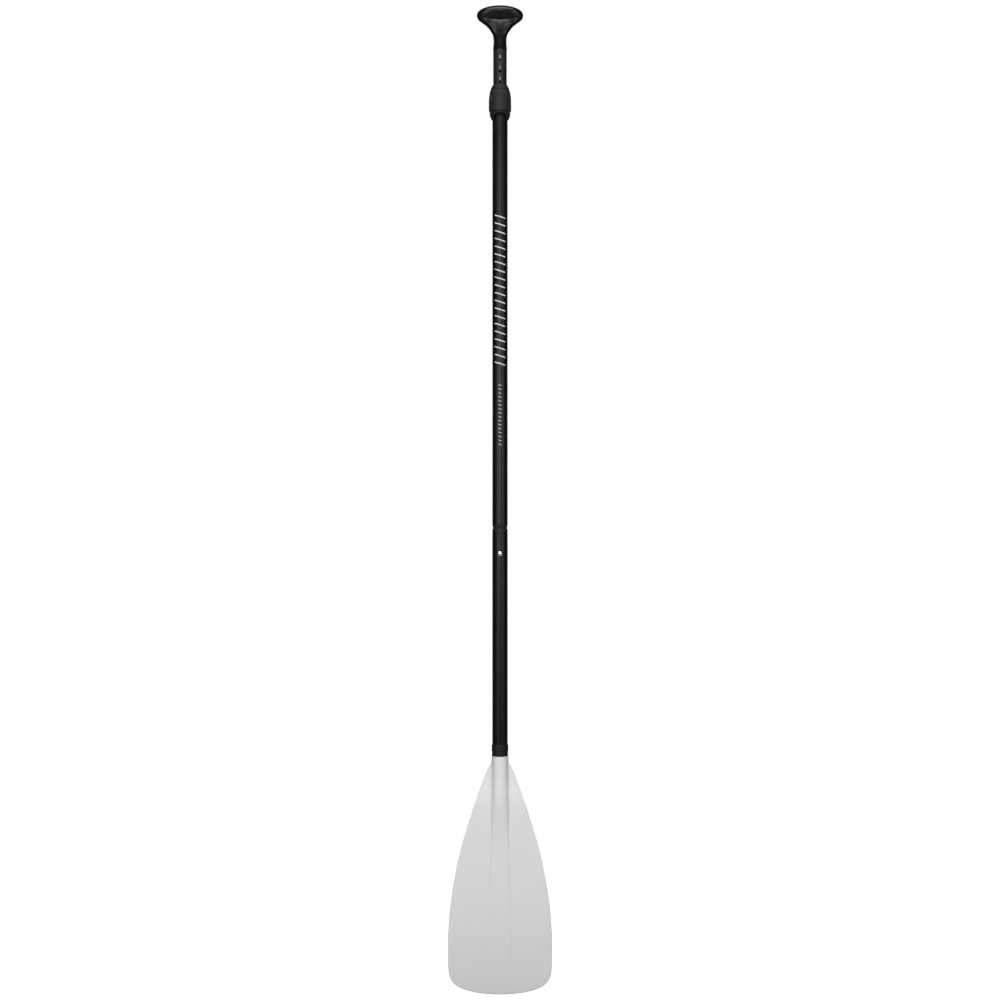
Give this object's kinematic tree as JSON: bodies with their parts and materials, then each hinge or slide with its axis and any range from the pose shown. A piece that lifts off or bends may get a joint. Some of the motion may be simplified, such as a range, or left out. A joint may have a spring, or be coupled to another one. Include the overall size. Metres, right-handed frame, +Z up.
{
  "type": "stand-up board paddle",
  "caption": "Adjustable take-apart paddle with a palm grip, a pin-lock lever clamp, dark round shafts joined by a snap button, and a white ribbed blade.",
  "frame": {"origin": "on the shaft's axis, in the seam between the two shafts, where a hand holds the paddle", "axes": "+Z up the shaft towards the palm grip, +X across the blade, -Y out of the blade's power face"},
  "size_m": [0.1938, 0.0888, 1.8271],
  "materials": {
    "shaft_black": "satin black",
    "handle_tube_black": "satin black anodised",
    "black_nylon": "satin moulded",
    "clamp_black": "satin moulded",
    "soft_black": "matt",
    "grip_black": "satin to gloss moulded",
    "blade_white": "satin moulded",
    "stainless": "polished",
    "zinc_steel": "plated",
    "foam_grey": "closed-cell foam"
  },
  "bodies": {
    "lower_section": {"lower_shaft": "shaft_black", "lower_ferrule": "black_nylon", "blade": "blade_white", "blade_rivet": "stainless", "blade_collar_sleeve": "soft_black", "blade_collar_band": "soft_black", "shaft_end_seal": "black_nylon", "lower_seal_bung": "foam_grey"},
    "upper_section": {"upper_shaft": "shaft_black", "upper_ferrule": "black_nylon", "spigot": "black_nylon", "spigot_rivet_low": "zinc_steel", "spigot_rivet_high": "zinc_steel", "button_spring": "stainless", "upper_seal_bung": "foam_grey", "clamp_body": "clamp_black", "clamp_collar": "clamp_black", "clamp_rivet": "zinc_steel", "wiper_ring": "soft_black", "lever_pivot_pin": "stainless", "tension_nut": "zinc_steel"},
    "snap_button": {"snap_button": "stainless"},
    "clamp_lever": {"clamp_lever": "clamp_black", "index_pin": "stainless"},
    "tension_screw": {"tension_screw": "stainless"},
    "handle": {"handle_tube": "handle_tube_black", "palm_grip": "grip_black", "guide_bush": "black_nylon", "grip_rivet": "zinc_steel"}
  },
  "joints": [
    {"name": "section_pull", "type": "slide", "parent": "lower_section", "child": "upper_section", "axis": [0, 0, 1], "range_m": [0, 0.36]},
    {"name": "button_press", "type": "slide", "parent": "upper_section", "child": "snap_button", "axis": [0, 1, 0], "range_m": [0, 0.0046], "stiffness_N_per_m": 900, "springref_m": -0.003, "deforming": ["button_spring"]},
    {"name": "lever_swing", "type": "hinge", "parent": "upper_section", "child": "clamp_lever", "pos_m": [0.01476, -0.00922, 0.7783], "axis": [0, 0, 1], "range_deg": [0, 100]},
    {"name": "handle_slide", "type": "slide", "parent": "upper_section", "child": "handle", "axis": [0, 0, 1], "range_m": [-0.06, 0.3]},
    {"name": "tension_screw_turn", "type": "hinge", "parent": "upper_section", "child": "tension_screw", "pos_m": [0, 0.0159, 0.781], "axis": [1, 0, 0], "range_deg": [-180, 180]}
  ]
}
